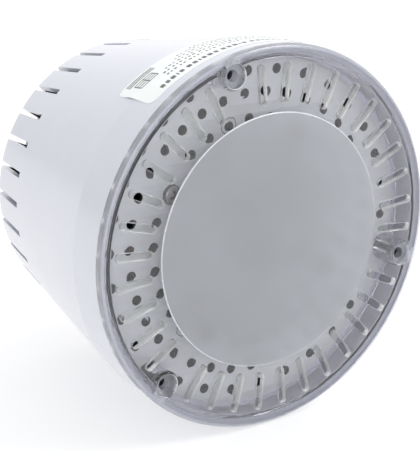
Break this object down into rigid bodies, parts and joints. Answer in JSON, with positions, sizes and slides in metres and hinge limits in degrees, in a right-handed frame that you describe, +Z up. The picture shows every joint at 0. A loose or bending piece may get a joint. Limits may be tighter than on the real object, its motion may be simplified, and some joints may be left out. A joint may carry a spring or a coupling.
{
  "type": "led pool lamp",
  "caption": "Round screw-in LED lamp: tapered white vented housing, slotted clear lens with frosted centre, perforated light board, internal fan and screw base.",
  "frame": {"origin": "on the lamp's axis, at the middle of the screw base's thread", "axes": "+Y along the lamp's axis from the lens to the screw base, +Z up with the lamp in its installed pose, lens facing -Y"},
  "size_m": [0.1486, 0.1532, 0.1486],
  "materials": {
    "housing_white": "glossy injection-moulded",
    "lens_clear": "clear moulded polycarbonate, frosted disc in the middle",
    "black_steel": "black oxide",
    "label_paper": "matt white film label",
    "board_white": "white solder mask",
    "emitter_phosphor": "silicone over phosphor",
    "zinc_steel": "zinc plated",
    "aluminium": "extruded",
    "nylon": "natural nylon",
    "fan_black": "glass-filled, moulded",
    "rotor_black": "satin moulded",
    "bright_steel": "ground",
    "bronze": "sintered bronze or brass",
    "lamination": "stacked laminations",
    "copper_wire": "enamelled copper",
    "ferrite": "pressed ferrite",
    "board_green": "green solder mask",
    "transformer_core": "ferrite core with taped winding",
    "capacitor_sleeve": "shrunk sleeve",
    "capacitor_yellow": "boxed film capacitor",
    "chip_black": "epoxy mould compound",
    "fuse_glass": "glass tube with nickel caps",
    "base_shell": "nickel-plated shell, rolled thread",
    "insulator_black": "vitrified black insulator",
    "wire_black": "PVC insulation",
    "wire_white": "PVC insulation",
    "wire_red": "PVC insulation"
  },
  "bodies": {
    "lamp": {"rear_housing": "housing_white", "front_lens": "lens_clear", "lens_screws": "black_steel", "rating_label": "label_paper", "led_board": "board_white", "led_emitters": "emitter_phosphor", "board_screws": "zinc_steel", "heat_sink": "aluminium", "fan_spacers": "nylon", "fan_nuts": "zinc_steel", "fan_frame": "fan_black", "fan_bearing": "bronze", "fan_stator": "lamination", "fan_coils": "copper_wire", "driver_board": "board_green", "driver_screws": "zinc_steel", "transformer": "transformer_core", "input_choke": "copper_wire", "bulk_capacitors": "capacitor_sleeve", "film_capacitor": "capacitor_yellow", "bridge_rectifier": "chip_black", "power_transistor": "chip_black", "fuse": "fuse_glass", "controller_chip": "chip_black", "led_socket": "nylon", "fan_socket": "nylon", "screw_shell": "base_shell", "base_insulator": "insulator_black", "centre_contact": "bronze", "line_wire": "wire_black", "neutral_wire": "wire_white", "led_leads": "wire_black", "fan_leads": "wire_red"},
    "fan": {"fan_rotor": "rotor_black", "fan_shaft": "bright_steel", "fan_magnet": "ferrite"}
  },
  "joints": [
    {"name": "fan_spin", "type": "hinge", "parent": "lamp", "child": "fan", "pos_m": [0, -0.1, 0], "axis": [0, 1, 0], "continuous": true}
  ]
}
